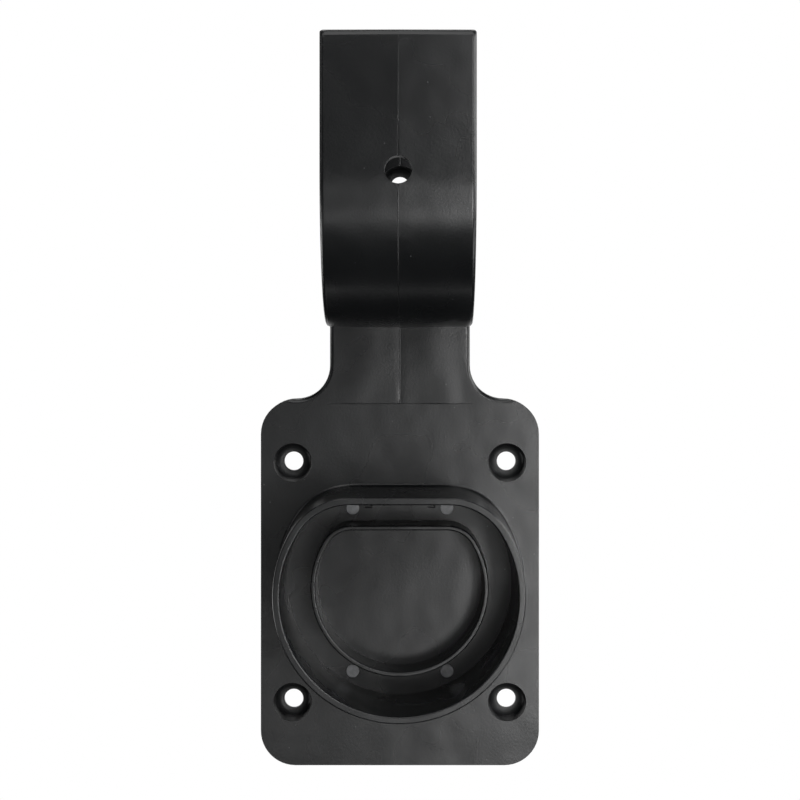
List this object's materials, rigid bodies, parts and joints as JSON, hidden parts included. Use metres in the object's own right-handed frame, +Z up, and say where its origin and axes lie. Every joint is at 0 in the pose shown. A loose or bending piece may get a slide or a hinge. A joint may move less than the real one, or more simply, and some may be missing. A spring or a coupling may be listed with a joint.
{
  "type": "ev connector holder",
  "caption": "Moulded wall holder for a vehicle charger: a screw-on plate with a D-shaped dock for the connector and a U-shaped cable hook above.",
  "frame": {"origin": "centre of the plate's four screw holes, on the wall plane", "axes": "+X to the right seen from the front, +Y into the wall, +Z up towards the hook"},
  "size_m": [0.0882, 0.0775, 0.2236],
  "materials": {
    "black_plastic": "satin"
  },
  "bodies": {
    "root": {"holder": "black_plastic"}
  },
  "joints": []
}
